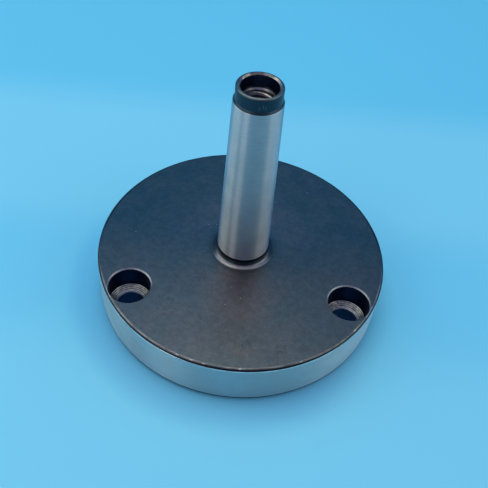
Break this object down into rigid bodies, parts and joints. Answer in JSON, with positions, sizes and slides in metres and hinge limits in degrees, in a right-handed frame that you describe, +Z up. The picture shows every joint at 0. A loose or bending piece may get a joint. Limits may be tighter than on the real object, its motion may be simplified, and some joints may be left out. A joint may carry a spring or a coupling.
{
  "type": "lathe chuck backplate",
  "caption": "Round steel plate that carries a lathe chuck on its register and screw holes, turned in one piece with a tapered shank that is tapped at its end for a drawbar.",
  "frame": {"origin": "centre of the register's lower face, which is the part's lowest plane and where it stands", "axes": "+Z up the shank along the turning axis; one screw hole lies on +Y; units metres"},
  "size_m": [0.1, 0.1, 0.085],
  "materials": {
    "blackened_and_ground_steel": "black-oxide skin on the turned faces, ground bright on the rim and the taper"
  },
  "bodies": {
    "root": {"backplate": "blackened_and_ground_steel"}
  },
  "joints": []
}
